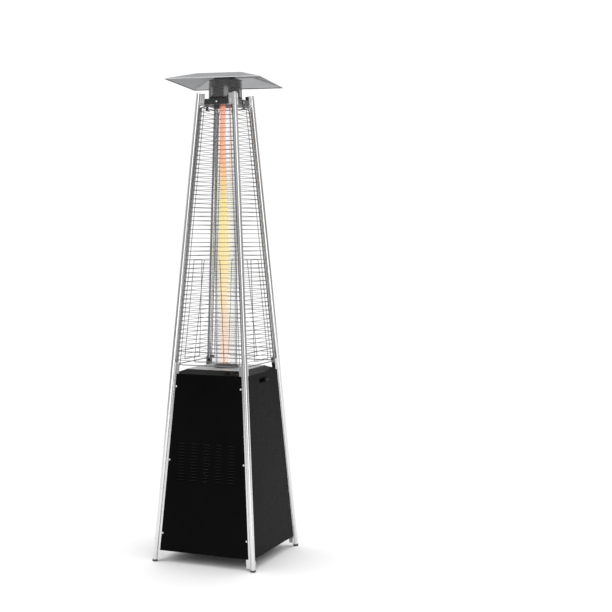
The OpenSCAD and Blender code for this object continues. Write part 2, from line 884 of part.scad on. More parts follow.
module igniter_lead()
{
    start = control_point(button_offset, control_y, body_back);
    end = [spark_at.x, spark_at.y, rise_z];
    color("firebrick") pipe_run([start, start + [0, -20, 0], [end.x - 20, end.y + 60, end.z - 20],
        end + [0, 0, -16], end], 3);
}

// Cut-out switch that shuts the gas if the heater tips over
module tilt_switch()
{
    at = control_point(-62, control_y - 6, -22);
    color("#232325") translate([at.x - 14, at.y - 9, at.z - 14]) difference() {
        cube([28, 18, 28]);
        for (x = [5, 23]) translate([x, -overlap, 5]) rotate([-90, 0, 0]) cylinder(d = 3.2, h = 18 + 2 * overlap);
    }
}

// ---------------------------------------------------------------- glass tube

seat_z = plate_z + top_plate_t;
glass_low = seat_z + 3;
glass_top = frame_top + 8;

// Ring with notches round its outside and a groove that the glass stands in
module glass_seat()
{
    outer = glass_d / 2 + seat_rim;
    color("#0d0d0e") difference() {
        translate([0, 0, seat_z]) cylinder(r = outer, h = seat_h);
        translate([0, 0, seat_z - overlap]) cylinder(r = seat_in_r, h = seat_h + 1);
        translate([0, 0, glass_low]) difference() {
            cylinder(r = glass_d / 2 + fit_gap, h = seat_h);
            translate([0, 0, -overlap]) cylinder(r = glass_d / 2 - glass_wall - fit_gap, h = seat_h + 1);
        }
        for (i = [0:seat_notches - 1]) rotate([0, 0, i * 360 / seat_notches])
            translate([outer - seat_rim * 0.55, -2.5, seat_z + 2]) cube([seat_rim, 5, seat_h]);
    }
}

module glass_tube()
{
    color("lightcyan", 0.35) translate([0, 0, glass_low]) difference() {
        cylinder(d = glass_d, h = glass_top - glass_low, $fn = 96);
        translate([0, 0, -overlap]) cylinder(d = glass_d - 2 * glass_wall, h = glass_top - glass_low + 1, $fn = 96);
    }
}

// Soft ring between the glass and the top frame
module glass_gasket()
{
    color("white") translate([0, 0, frame_low + frame_t]) difference() {
        cylinder(r = glass_d / 2 + 6, h = 5);
        translate([0, 0, -overlap]) cylinder(r = glass_d / 2 + 0.1, h = 6);
    }
}

// ---------------------------------------------------------------- top frame and head

// Square tray between the leg tops with a hole for the glass in its floor
module top_frame()
{
    function wall_half(z) = inner_half(z) - 0.22;
    deck = frame_low + frame_t;
    rim = frame_top + overlap;
    color("#1a1a1c") difference() {
        square_block([[wall_half(frame_low), frame_low], [wall_half(frame_top), frame_top]]);
        square_block([[wall_half(deck) - frame_t, deck], [wall_half(rim) - frame_t, rim]]);
        translate([0, 0, frame_low - overlap]) cylinder(r = glass_d / 2 + 2, h = frame_h);
        tube_clearance();
        for (turn = [0:90:270]) on_face(turn) {
            for (z = bolt_zs, side = [-1, 1])
                translate([side * (face_half(up(z)) - bolt_inset), up(z), -8])
                    cylinder(d = bolt_d + fit_gap, h = 8);
            translate([0, up(hook_screw_z), -8]) cylinder(d = screw_d + fit_gap, h = 8);
        }
    }
}

// Bolts through the leg tabs and the top frame, with their nuts inside
module frame_bolts()
{
    color("silver") for (turn = [0:90:270]) on_face(turn) for (z = bolt_zs, side = [-1, 1])
        translate([side * (face_half(up(z)) - bolt_inset), up(z), 0]) {
            cylinder(d1 = 8.5, d2 = 6, h = 2.6);
            translate([0, 0, -9]) cylinder(d = bolt_d, h = 10);
            translate([0, 0, -plate_t - frame_t - 4.4]) cylinder(d = 9, h = 4, $fn = 6);
        }
}

head_z = leg_h - 15;
ring_t = 2;

// Flat ring on four posts that carries the flame screen
module head_ring()
{
    color("#1a1a1c") {
        difference() {
            translate([0, 0, head_z - ring_t]) cylinder(d = head_d - 4, h = ring_t);
            translate([0, 0, head_z - ring_t - overlap]) cylinder(r = glass_d / 2 + 1, h = ring_t + 1);
        }
        for (a = [45:90:315]) rotate([0, 0, a]) translate([head_d / 2 - 9, 0, frame_low + frame_t])
            cylinder(d = 8, h = head_z - ring_t - frame_low - frame_t + 0.5);
    }
}

// Plain drum with a rolled lip at its foot
module head_drum()
{
    wall = 1.2;
    color("#1d1d1f") translate([0, 0, head_z]) difference() {
        union() {
            cylinder(d = head_d - 3, h = head_h - lid_h + 4, $fn = 96);
            cylinder(d = head_d, h = 3, $fn = 96);
        }
        translate([0, 0, -overlap]) cylinder(d = head_d - 3 - 2 * wall, h = head_h, $fn = 96);
    }
}

// Lid with a short skirt and a sloping edge
module head_lid()
{
    skirt = 5;
    slope = 29;
    color("#0f0f10") translate([0, 0, head_z + head_h - lid_h]) difference() {
        union() {
            cylinder(d = head_d, h = skirt, $fn = 96);
            translate([0, 0, skirt]) cylinder(d1 = head_d, d2 = head_d - 2 * slope, h = lid_h - skirt, $fn = 96);
        }
        translate([0, 0, -overlap]) cylinder(d = head_d - 2.6, h = skirt - 0.8 + overlap, $fn = 96);
        translate([0, 0, skirt - 0.9])
            cylinder(d1 = head_d - 2.6, d2 = head_d - 2 * slope - 2.6, h = lid_h - skirt - 0.9, $fn = 96);
        for (a = [45:90:315]) rotate([0, 0, a]) translate([stud_r, 0, 0]) cylinder(d = 6 + fit_gap, h = lid_h + 1);
    }
}

lid_top = head_z + head_h;
roof_z = lid_top + spacer_h;
stud_r = 42;

// Square roof with four falling sides and a small rolled hem
module reflector()
{
    rim = reflector_w / 2;
    flat = reflector_flat / 2;
    t = reflector_t;
    hem = 3;
    low = roof_z - reflector_drop;
    color("gainsboro") rotate([0, 0, reflector_turn]) difference() {
        square_block([[rim, low - hem], [rim, low], [flat, roof_z + t]]);
        square_block([[rim - t, low - hem - overlap], [rim - t, low - 0.2], [flat - 0.2, roof_z]]);
        for (a = [45:90:315]) rotate([0, 0, a - reflector_turn]) translate([stud_r, 0, roof_z - overlap])
            cylinder(d = 6 + fit_gap, h = t + 2 * overlap);
    }
}

// Studs with their spacers, between the lid and the reflector
module reflector_studs()
{
    color("silver") for (a = [45:90:315]) rotate([0, 0, a]) translate([stud_r, 0, 0]) {
        translate([0, 0, lid_top - 8]) cylinder(d = 6, h = roof_z + reflector_t + 11 - lid_top + 8);
        translate([0, 0, lid_top]) cylinder(d = 12, h = roof_z - lid_top);
        translate([0, 0, lid_top - 2 - 5]) cylinder(d = 11, h = 5, $fn = 6);
    }
}

// Wing nuts on the studs
module reflector_nuts()
{
    color("silver") for (a = [45:90:315]) rotate([0, 0, a]) translate([stud_r, 0, roof_z + reflector_t])
        difference() {
            union() {
                cylinder(d1 = 13, d2 = 9, h = 6);
                for (s = [-1, 1]) translate([0, 0, 2.5]) rotate([0, -s * 28, 0]) translate([s > 0 ? 3 : -12, -1, 0])
                    cube([9, 2, 3.5]);
            }
            translate([0, 0, -overlap]) cylinder(d = 6, h = 14);
        }
}

// ---------------------------------------------------------------- guards

guard_n = -plate_t - 0.2 - rod_d / 2;
guard_low = cabinet_h + guard_gap_low;
guard_high = frame_low - guard_gap_high;
hook_z = guard_low + 8;
pair_n = guard_n - wire_d / 2 - 1.5 - 0.03;
loop_n = guard_n + wire_d / 2 + 1.5 + 0.03;
stay_half = 135;
stay_row = 3;
wire_gaps = round((up(guard_high) - up(guard_low)) / wire_pitch);
wire_step = (up(guard_high) - up(guard_low)) / wire_gaps;

// Half the length of a cross wire y up the face, also where the frame rounds in
function guard_half(y) =
    let (edge = face_half(y) - guard_inset, r = guard_corner, rise = y - up(guard_high) + r)
    rise <= 0 ? edge : face_half(up(guard_high) - r) - guard_inset - r * 1.03 + sqrt(max(0, r * r - rise * rise));

module guard(turn)
{
    y0 = up(guard_low);
    y1 = up(guard_high);
    w0 = face_half(y0) - guard_inset;
    w1 = face_half(y1) - guard_inset;
    tab_x = face_half(up(hook_z)) - bolt_inset;
    color("#5a5a5e") on_face(turn) {
        translate([0, 0, guard_n])
            bent_loop([[-w0, y0], [w0, y0], [w1, y1], [-w1, y1]],
                [guard_corner / 2, guard_corner / 2, guard_corner, guard_corner], rod_d);
        for (i = [1:wire_gaps - 1]) {
            y = y0 + wire_step * i;
            bar([-guard_half(y), y, guard_n], [guard_half(y), y, guard_n], wire_d);
        }
        stay_y = y0 + wire_step * stay_row;
        bar([-stay_half, stay_y, guard_n], [stay_half, stay_y, guard_n], rod_d);
        for (s = [-1, 1]) bar([s * (w0 - guard_pair), y0, pair_n], [s * (w1 - guard_pair), y1, pair_n], 3);
        translate([0, 0, loop_n])
            bent_loop([
                [-loop_foot_w / 2, y0 + 15], [loop_foot_w / 2, y0 + 15],
                [loop_top_w / 2, y0 + 15 + loop_h], [-loop_top_w / 2, y0 + 15 + loop_h]
            ], [8, 8, 10, 10], 3);
        for (s = [-1, 1]) difference() {
            translate([s * tab_x - 6, up(hook_z) - 5, -plate_t - 1.7]) cube([12, 10, 1.5]);
            translate([s * tab_x, up(hook_z), -plate_t - 2]) cylinder(d = screw_d + fit_gap, h = 2.5);
        }
    }
}

// Strip from the middle of each side of the top frame, bent round under the guard's upper rod
module guard_hooks()
{
    w = 24;
    t = plate_t;
    back = guard_n - rod_d / 2 - 1 - t;
    y_top = up(frame_top) - 1;
    y_low = up(guard_high) - 12;
    color("#0f0f10") for (turn = [0:90:270]) on_face(turn) difference() {
        union() {
            translate([-w / 2, y_low, -t]) cube([w, y_top - y_low, t]);
            translate([-w / 2, y_low, back]) cube([w, t, -back]);
            translate([-w / 2, y_low, back]) cube([w, 7, t]);
        }
        translate([0, up(hook_screw_z), -t - overlap]) cylinder(d = screw_d + fit_gap, h = t + 2 * overlap);
    }
}

module guard_screws()
{
    color("silver") for (turn = [0:90:270]) on_face(turn) {
        translate([0, up(hook_screw_z), 0]) pan_screw(9, screw_d, 6);
        for (s = [-1, 1]) translate([s * (face_half(up(hook_z)) - bolt_inset), up(hook_z), 0])
            pan_screw(7.5, screw_d, 5);
    }
}

leg(0);  // leg_front
leg(90);  // leg_right
leg(180);  // leg_back
leg(270);  // leg_left
foot_caps();
front_panel();
left_panel();
back_panel();
panel_screws();
base_shelf();
shelf_brackets();
bottle_ring();
shoulder();
shoulder_skirt();
top_plate();
door_panel();
hinge_leaves();
hinge_pins();
hinge_brackets();
latch_plate();
latch_knob();
latch_cam();
control_plate();
control_knob();
valve_stem();
stem_collar();
gas_valve();
gas_inlet();
supply_pipe();
pilot_pipe();
igniter_body();
igniter_nut();
igniter_button();
igniter_lead();
burner_cup();
burner_head();
mixer_tube();
gas_jet();
pilot_burner();
thermocouple();
igniter_electrode();
tilt_switch();
glass_seat();
glass_tube();
glass_gasket();
top_frame();
frame_bolts();
head_ring();
head_drum();
head_lid();
reflector();
reflector_studs();
reflector_nuts();
guard(0);  // guard_front
guard(90);  // guard_right
guard(180);  // guard_back
guard(270);  // guard_left
guard_hooks();
guard_screws();
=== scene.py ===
"""Looks of the gas patio heater: finishes for the made parts, and the pieces that need softer shapes."""
import json
import math
import bpy
from mathutils import Matrix, Vector


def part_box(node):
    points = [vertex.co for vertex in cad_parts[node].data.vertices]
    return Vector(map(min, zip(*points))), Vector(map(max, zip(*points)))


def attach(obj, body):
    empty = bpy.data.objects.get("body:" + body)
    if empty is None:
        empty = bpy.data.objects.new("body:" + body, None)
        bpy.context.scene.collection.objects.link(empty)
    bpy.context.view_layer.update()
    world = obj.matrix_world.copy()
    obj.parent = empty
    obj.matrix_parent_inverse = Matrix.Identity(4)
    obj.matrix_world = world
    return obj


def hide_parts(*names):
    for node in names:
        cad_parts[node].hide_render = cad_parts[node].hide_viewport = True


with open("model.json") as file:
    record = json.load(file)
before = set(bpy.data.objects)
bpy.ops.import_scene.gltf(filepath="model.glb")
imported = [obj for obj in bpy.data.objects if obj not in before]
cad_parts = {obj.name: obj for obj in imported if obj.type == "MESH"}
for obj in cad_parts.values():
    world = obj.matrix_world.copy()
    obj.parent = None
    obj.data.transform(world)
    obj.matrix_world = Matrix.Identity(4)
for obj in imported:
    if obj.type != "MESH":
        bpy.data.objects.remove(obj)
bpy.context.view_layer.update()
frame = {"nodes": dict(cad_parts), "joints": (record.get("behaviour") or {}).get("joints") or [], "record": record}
NODES = frame["nodes"]
JOINTS = {j["name"]: j for j in frame["joints"]}

# ------------------------------------------------------------------ sizes from the frame

MM = 0.001
LEAN = math.asin(JOINTS["latch_turn"]["axis"][2])      # lean of every face from upright
FOOT_R = 12.5 * MM
BASE_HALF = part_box("foot_caps")[1].x - FOOT_R          # from the middle to a leg's axis, at the floor
GLASS_LOW, GLASS_HIGH = (corner.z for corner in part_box("glass_tube"))
GLASS_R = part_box("glass_tube")[1].x
PLATE_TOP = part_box("top_plate")[1].z
PANEL_T = 1 * MM
SCREW_INSET = 26 * MM
SCREW_HEIGHTS = (132 * MM, 470.5 * MM, 809 * MM)
BOLT_INSET = 23 * MM
BOLT_HEIGHTS = (2113.48 * MM, 2123.4 * MM)
HOOK_SCREW_Z = 2114 * MM
GUARD_TAB_Z = 916 * MM
VENT_COLUMN_PITCH, VENT_ROW_PITCH, VENT_LOW = 63.5 * MM, 13.8 * MM, 382 * MM
CONTROL_Z = JOINTS["knob_turn"]["pos_m"][2]
LATCH_X, LATCH_Z = JOINTS["latch_turn"]["pos_m"][1:]   # across the door's face, and height
REFLECTOR_TURN = 9.6                                   # degrees, the sheet round the head
REFLECTOR_W, REFLECTOR_FLAT_W = 443 * MM, 209 * MM
VENT_COLUMN_COUNT, VENT_ROW_COUNT = 5, 13
FACES = {"front": 0, "door": 90, "back": 180, "left": 270}
SIDES = (-1, 1)


def face_matrix(turn):
    """Moves a shape drawn in a face's plane, x across, y up the slope and z outwards, on to that face."""
    return (Matrix.Rotation(math.radians(turn), 4, "Z") @ Matrix.Translation((0, -BASE_HALF, 0))
            @ Matrix.Rotation(math.pi / 2 - LEAN, 4, "X"))


def up_face(z):
    """How far up the slope of a face the height z is."""
    return z / math.cos(LEAN)


def half_face(y):
    """Half the distance between a face's two leg axes, y up its slope."""
    return BASE_HALF - y * math.sin(LEAN)


def on_face_at(turn, x, z, out):
    """Moves a shape made at the origin to x across, z high and out from the face at that turn."""
    return face_matrix(turn) @ Matrix.Translation((x, up_face(z), out))


def by_the_legs(z, inset):
    """The side and the place across a face of two points at height z, inset from its legs' axes."""
    return [(side, side * (half_face(up_face(z)) - inset)) for side in SIDES]


# ------------------------------------------------------------------ camera and studio

def make_camera():
    """A long lens a little above the cabinet, turned towards the front and the door."""
    data = bpy.data.cameras.new("camera")
    data.lens = 70.12
    data.sensor_width = 36
    camera = bpy.data.objects.new("camera", data)
    camera.location = (2.44333, -5.02256, 1.49581)
    camera.rotation_euler = (math.radians(86.6768), 0, math.radians(22.1059))
    bpy.context.scene.collection.objects.link(camera)
    bpy.context.scene.camera = camera


def fill_ramp(node, stops):
    """Gives a colour ramp its stops, each (position, (red, green, blue))."""
    points = node.color_ramp.elements
    while len(points) < len(stops):
        points.new(0.5)
    for point, (position, colour) in zip(points, stops):
        point.position, point.color = position, (*colour, 1)


def grey_stops(*stops):
    """Ramp stops of plain greys, each (position, grey)."""
    return [(position, (grey,) * 3) for position, grey in stops]


def softbox(name, place, target, size, radiance):
    """A flat light that shows only in reflections and in what it lights."""
    data = bpy.data.lights.new(name, "AREA")
    data.shape = "RECTANGLE"
    data.size, data.size_y = size
    data.energy = radiance * math.pi * size[0] * size[1]
    light = bpy.data.objects.new(name, data)
    light.location = place
    light.rotation_euler = (Vector(target) - Vector(place)).to_track_quat("-Z", "Y").to_euler()
    light.visible_camera = False
    bpy.context.scene.collection.objects.link(light)


def make_studio():
    """Four soft lights round the heater, under a sky that darkens towards the ground."""
    middle = (0, 0, 1.1)
    softbox("front", (3.5, -6.0, 2.2), middle, (3.8, 4.2), 1.7)
    softbox("back_right", (2.5, 4.6, 3.2), middle, (2.0, 1.8), 0.9)
    softbox("left", (-5.0, -0.6, 2.6), middle, (1.6, 2.6), 0.9)
    softbox("overhead", (0, 0, 4.6), (0, 0, 0), (3.5, 3.5), 0.5)
    world = bpy.data.worlds.new("studio")
    bpy.context.scene.world = world
    world.use_nodes = True
    nodes, links = world.node_tree.nodes, world.node_tree.links
    nodes.clear()
    output = nodes.new("ShaderNodeOutputWorld")
    mix = nodes.new("ShaderNodeMixShader")
    seen = nodes.new("ShaderNodeBackground")
    seen.inputs["Color"].default_value = (1, 1, 1, 1)
    seen.inputs["Strength"].default_value = 1.05
    lit = nodes.new("ShaderNodeBackground")
    lit.inputs["Strength"].default_value = 1.6
    path = nodes.new("ShaderNodeLightPath")
    where = nodes.new("ShaderNodeTexCoord")
    split = nodes.new("ShaderNodeSeparateXYZ")
    ramp = nodes.new("ShaderNodeValToRGB")
    fill_ramp(ramp, grey_stops((0.0, 0.20), (0.08, 0.22), (0.30, 0.36), (0.55, 1.0)))
    links.new(where.outputs["Generated"], split.inputs[0])
    links.new(split.outputs["Z"], ramp.inputs["Fac"])
    links.new(ramp.outputs["Color"], lit.inputs["Color"])
    links.new(path.outputs["Is Camera Ray"], mix.inputs["Fac"])
    links.new(lit.outputs[0], mix.inputs[1])
    links.new(seen.outputs[0], mix.inputs[2])
    links.new(mix.outputs[0], output.inputs["Surface"])
    bpy.context.scene.view_settings.view_transform = "Standard"


# ------------------------------------------------------------------ finishes

class Finish:
    """A node material being wired up: its tree, its main shader and the steps that repeat."""

    def __init__(self, name, base, metal=0.0, rough=0.5):
        self.mat = bpy.data.materials.new(name)
        self.mat.use_nodes = True
        self.tree = self.mat.node_tree
        self.shader = self.tree.nodes["Principled BSDF"]
        self.shader.inputs["Base Color"].default_value = (*base, 1)
        self.shader.inputs["Metallic"].default_value = metal
        self.shader.inputs["Roughness"].default_value = rough
        self.base = base

    def new(self, kind):
        return self.tree.nodes.new(kind)

    def link(self, a, b):
        self.tree.links.new(a, b)

    def coords(self, stretch=(1, 1, 1)):
        """The piece's own coordinates in metres, stretched along each axis."""
        where = self.new("ShaderNodeTexCoord")
        mapping = self.new("ShaderNodeMapping")
        mapping.inputs["Scale"].default_value = stretch
        self.link(where.outputs["Object"], mapping.inputs["Vector"])
        return mapping.outputs["Vector"]

    def noise(self, scale, detail=4, rough=0.55, stretch=(1, 1, 1), distortion=0.0):
        """Random cloudiness: scale is in spots to the metre."""
        tex = self.new("ShaderNodeTexNoise")
        tex.inputs["Scale"].default_value = scale
        tex.inputs["Detail"].default_value = detail
        tex.inputs["Roughness"].default_value = rough
        tex.inputs["Distortion"].default_value = distortion
        self.link(self.coords(stretch), tex.inputs["Vector"])
        return tex.outputs["Fac"]

    def ramp(self, value, stops):
        node = self.new("ShaderNodeValToRGB")
        fill_ramp(node, stops)
        self.link(value, node.inputs["Fac"])
        return node.outputs["Color"]

    def spread(self, value, low, high):
        """Stretches a noise's middle range over low to high."""
        node = self.new("ShaderNodeMapRange")
        node.inputs["From Min"].default_value = 0.3
        node.inputs["From Max"].default_value = 0.7
        node.inputs["To Min"].default_value = low
        node.inputs["To Max"].default_value = high
        self.link(value, node.inputs["Value"])
        return node.outputs["Result"]

    def tone(self, value, darker, lighter):
        """Varies the base colour between two multiples of itself."""
        dark = [c * darker for c in self.base]
        light = [min(1, c * lighter) for c in self.base]
        self.link(self.ramp(value, [(0.3, dark), (0.7, light)]), self.shader.inputs["Base Color"])

    def roughness(self, value, low, high):
        self.link(self.spread(value, low, high), self.shader.inputs["Roughness"])

    def bump(self, value, strength, depth):
        node = self.new("ShaderNodeBump")
        node.inputs["Strength"].default_value = strength
        node.inputs["Distance"].default_value = depth
        self.link(value, node.inputs["Height"])
        self.link(node.outputs["Normal"], self.shader.inputs["Normal"])

    def set(self, **values):
        for name, value in values.items():
            self.shader.inputs[name.replace("_", " ")].default_value = value
        return self


def drawn_steel(name, base, stretch, rough=(0.11, 0.20)):
    """Bright steel with fine lines along its length, light cloudiness and faint rubbing."""
    f = Finish(name, base, metal=1.0)
    lines = f.noise(900, detail=3, stretch=stretch)
    clouds = f.noise(7, detail=4)
    f.tone(clouds, 0.96, 1.03)
    f.roughness(lines, *rough)
    f.bump(lines, 0.12, 0.00012)
    return f.mat


def plated_steel(name, base=(0.72, 0.73, 0.74)):
    """Bright zinc plate with its faint mottling."""
    f = Finish(name, base, metal=1.0)
    mottle = f.noise(220, detail=5, distortion=0.6)
    f.tone(mottle, 0.82, 1.1)
    f.roughness(mottle, 0.14, 0.34)
    f.bump(mottle, 0.08, 0.0001)
    return f.mat


def powder_coat(name, base, rough=(0.30, 0.42), coat=0.0, ior=1.5):
    """Black coating with fine orange peel, slow unevenness and a little settled dust."""
    f = Finish(name, base)
    peel = f.noise(520, detail=3, rough=0.5)
    slow = f.noise(3.2, detail=5)
    f.tone(slow, 0.75, 1.35)
    f.roughness(f.noise(38, detail=6), *rough)
    f.bump(peel, 0.16, 0.0002)
    f.set(Coat_Weight=coat, Coat_Roughness=0.12, IOR=ior)
    return f.mat


def moulded(name, base, rough=(0.38, 0.55), ior=1.46):
    """Moulded plastic with a fine spark-eroded grain."""
    f = Finish(name, base).set(IOR=ior)
    grain = f.noise(1700, detail=2)
    f.tone(f.noise(14, detail=4), 0.85, 1.2)
    f.roughness(f.noise(60, detail=4), *rough)
    f.bump(grain, 0.25, 0.00012)
    return f.mat


def soft_rubber(name, base):
    """Matt rubber with a scuffed skin."""
    f = Finish(name, base)
    f.tone(f.noise(40, detail=5), 0.75, 1.4)
    f.roughness(f.noise(120, detail=4), 0.6, 0.85)
    f.bump(f.noise(800, detail=3), 0.3, 0.0002)
    return f.mat


def machined_brass(name, base):
    """Turned soft metal with fine tool rings and a little tarnish."""
    f = Finish(name, base, metal=1.0)
    rings = f.noise(600, detail=3, stretch=(1, 1, 6))
    f.tone(f.noise(45, detail=5), 0.72, 1.12)
    f.roughness(rings, 0.20, 0.42)
    f.bump(rings, 0.12, 0.0001)
    return f.mat


def browned_iron(name, base):
    """Cast iron with heat tints and a sandy skin."""
    f = Finish(name, base, metal=0.75)
    skin = f.noise(420, detail=6)
    stain = f.noise(26, detail=5, distortion=0.8)
    tints = [(0.3, (0.045, 0.042, 0.045)), (0.5, (0.10, 0.085, 0.07)), (0.72, (0.16, 0.10, 0.065))]
    f.link(f.ramp(stain, tints), f.shader.inputs["Base Color"])
    f.roughness(skin, 0.45, 0.8)
    f.bump(skin, 0.5, 0.0004)
    return f.mat


def rolled_aluminium(name, base):
    """Thin rolled sheet: fine lines one way, soft waves and a satin sheen."""
    f = Finish(name, base, metal=1.0)
    lines = f.noise(1100, detail=3, stretch=(1, 0.03, 1))
    waves = f.noise(5.5, detail=2)
    f.tone(f.noise(9, detail=5), 0.93, 1.05)
    f.roughness(lines, 0.24, 0.36)
    f.bump(waves, 0.12, 0.004)
    return f.set(Specular_Tint=(0.45, 0.45, 0.46, 1)).mat


def woven_fibre(name, base):
    """Pale braided rope with its weave in relief."""
    f = Finish(name, base)
    weave = f.new("ShaderNodeTexWave")
    weave.wave_type = "BANDS"
    weave.inputs["Scale"].default_value = 700
    weave.inputs["Distortion"].default_value = 3
    f.link(f.coords(), weave.inputs["Vector"])
    f.tone(f.noise(160, detail=6), 0.8, 1.15)
    f.set(Roughness=0.95)
    f.bump(weave.outputs["Fac"], 0.6, 0.0004)
    return f.mat


def glazed_ceramic(name, base):
    """Smooth off-white glaze, a little uneven in tone."""
    f = Finish(name, base)
    f.tone(f.noise(70, detail=4), 0.9, 1.06)
    f.roughness(f.noise(200, detail=3), 0.12, 0.3)
    return f.mat


def clear_glass(name):
    """Thin clear wall: nearly open face on; towards its edges a painted grey edge shade grows more opaque,
    standing in for the shade and reflection the glass bends in there, so the wall reads greyer and brighter.
    """
    f = Finish(name, (0.20, 0.22, 0.225), rough=0.05)
    edge = f.new("ShaderNodeLayerWeight")
    edge.inputs["Blend"].default_value = 0.5
    # painted edge shade: the grey base turns opaque at grazing angles to stand in for the darkening and reflection
    # along the tube's sides
    edge_shade_alpha = f.ramp(edge.outputs["Facing"], grey_stops((0.0, 0.03), (0.35, 0.09), (0.68, 0.34), (1.0, 0.72)))
    f.link(edge_shade_alpha, f.shader.inputs["Alpha"])
    f.tone(f.noise(3.0, detail=3), 0.9, 1.1)
    f.set(Specular_IOR_Level=0.5)
    return f.mat


def painted_mark(name, base):
    """Thin printed paint, slightly worn."""
    f = Finish(name, base)
    f.tone(f.noise(300, detail=4), 0.9, 1.05)
    f.roughness(f.noise(500), 0.4, 0.6)
    return f.mat


def flame_glow(name, low, high, thick):
    """Fire: pale and streaky at the burner, yellow, then salmon at its tip, fading out towards its rim."""
    mat = bpy.data.materials.new(name)
    mat.use_nodes = True
    tree = mat.node_tree
    tree.nodes.clear()
    new, link = tree.nodes.new, tree.links.new

    def ramp(value, stops):
        node = new("ShaderNodeValToRGB")
        fill_ramp(node, stops)
        link(value, node.inputs["Fac"])
        return node.outputs["Color"]

    def times(a, b):
        node = new("ShaderNodeMath")
        node.operation = "MULTIPLY"
        link(a, node.inputs[0])
        link(b, node.inputs[1])
        return node.outputs[0]

    output = new("ShaderNodeOutputMaterial")
    mix = new("ShaderNodeMixShader")
    clear = new("ShaderNodeBsdfTransparent")
    glow = new("ShaderNodeEmission")
    where = new("ShaderNodeTexCoord")
    split = new("ShaderNodeSeparateXYZ")
    height = new("ShaderNodeMapRange")
    link(where.outputs["Object"], split.inputs[0])
    link(split.outputs["Z"], height.inputs["Value"])
    height.inputs["From Min"].default_value = low
    height.inputs["From Max"].default_value = high
    rise = height.outputs["Result"]
    stretch = new("ShaderNodeMapping")
    streaks = new("ShaderNodeTexNoise")
    stretch.inputs["Scale"].default_value = (1, 1, 0.05)
    streaks.inputs["Scale"].default_value = 75
    streaks.inputs["Detail"].default_value = 2
    link(where.outputs["Object"], stretch.inputs["Vector"])
    link(stretch.outputs["Vector"], streaks.inputs["Vector"])
    hue = ramp(rise, [(0.0, (1.0, 0.58, 0.36)), (0.14, (1.0, 0.66, 0.42)), (0.34, (1.0, 0.80, 0.40)),
                      (0.62, (1.0, 0.80, 0.27)), (0.80, (1.0, 0.43, 0.21)), (1.0, (1.0, 0.33, 0.20))])
    link(hue, glow.inputs["Color"])
    glow.inputs["Strength"].default_value = 1.08
    rim = new("ShaderNodeLayerWeight")
    rim.inputs["Blend"].default_value = 0.5
    fade = grey_stops((0.0, thick), (0.12, thick * 0.8), (0.4, thick * 0.32), (0.75, 0.0))
    body = ramp(rim.outputs["Facing"], fade)
    along = ramp(rise, grey_stops((0.0, 0.45), (0.2, 0.6), (0.4, 1.0), (1.0, 0.85)))
    uneven = ramp(streaks.outputs["Fac"], grey_stops((0.36, 0.55), (0.6, 1.0)))
    link(times(times(body, along), uneven), mix.inputs["Fac"])
    link(clear.outputs[0], mix.inputs[1])
    link(glow.outputs[0], mix.inputs[2])
    link(mix.outputs[0], output.inputs["Surface"])
    return mat


# ------------------------------------------------------------------ modelling steps

def clear_selection():
    """Leaves edit mode and deselects everything."""
    if bpy.context.object and bpy.context.object.mode != "OBJECT":
        bpy.ops.object.mode_set(mode="OBJECT")
    bpy.ops.object.select_all(action="DESELECT")


def finished(name, finish, body, replaces=(), smooth=35):
    """Names the active piece, bakes its place into its mesh, shades it and hands it to its body."""
    if bpy.context.object.mode != "OBJECT":
        bpy.ops.object.mode_set(mode="OBJECT")
    piece = bpy.context.object
    piece.name = piece.data.name = name
    bake_place()
    if smooth:
        bpy.ops.object.shade_smooth_by_angle(angle=math.radians(smooth))
    piece.data.materials.clear()
    piece.data.materials.append(finish)
    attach(piece, body)
    if replaces:
        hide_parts(*replaces)
    return piece


def apply_modifier(kind, **settings):
    """Adds one modifier to the active piece and applies it at once."""
    piece = bpy.context.object
    modifier = piece.modifiers.new(kind.title(), kind)
    for name, value in settings.items():
        setattr(modifier, name, value)
    bpy.ops.object.modifier_apply(modifier=modifier.name)


def turned(rings, segments=64, solid=False, closed=False):
    """Builds a shape ring by ring from a circle: a ring is (radius, height) or (radius, height, x, y)."""
    clear_selection()
    rings = [tuple(ring) + (0, 0) if len(ring) == 2 else tuple(ring) for ring in rings]
    r_now, z_now, x_now, y_now = rings[0]
    bpy.ops.mesh.primitive_circle_add(vertices=segments, radius=r_now, location=(x_now, y_now, z_now),
                                      fill_type="NGON" if solid else "NOTHING")
    bpy.ops.object.mode_set(mode="EDIT")
    bpy.ops.mesh.select_mode(type="FACE" if solid else "EDGE")
    bpy.ops.mesh.select_all(action="SELECT")
    for r, z, x, y in rings[1:]:
        bpy.ops.mesh.extrude_region_move(TRANSFORM_OT_translate={"value": (x - x_now, y - y_now, z - z_now)})
        bpy.ops.transform.resize(value=(r / r_now, r / r_now, 1), center_override=(x, y, z))
        r_now, z_now, x_now, y_now = r, z, x, y
    bpy.ops.mesh.select_mode(type="VERT")
    bpy.ops.mesh.select_all(action="SELECT")
    if closed:
        bpy.ops.mesh.remove_doubles(threshold=1e-6)
    bpy.ops.mesh.normals_make_consistent(inside=False)
    bpy.ops.object.mode_set(mode="OBJECT")
    return bpy.context.object


def arc(centre, radius, start, end, steps):
    """Points (radius, height) of a turned profile along an arc, angles in degrees."""
    out = []
    for i in range(steps + 1):
        a = math.radians(start + (end - start) * i / steps)
        out.append((centre[0] + radius * math.cos(a), centre[1] + radius * math.sin(a)))
    return out


def bake_place():
    """Bakes the active piece's place, turn and size into its mesh."""
    bpy.ops.object.transform_apply(location=True, rotation=True, scale=True)


def place(matrix):
    """Moves the active piece's object by matrix and bakes that into its mesh."""
    bpy.context.object.matrix_world = matrix @ bpy.context.object.matrix_world
    bake_place()


def block(size, centre=(0, 0, 0)):
    """A plain block, the start of a bevelled piece or a cutter."""
    bpy.ops.mesh.primitive_cube_add(size=1, location=centre, scale=size)
    bake_place()
    return bpy.context.object


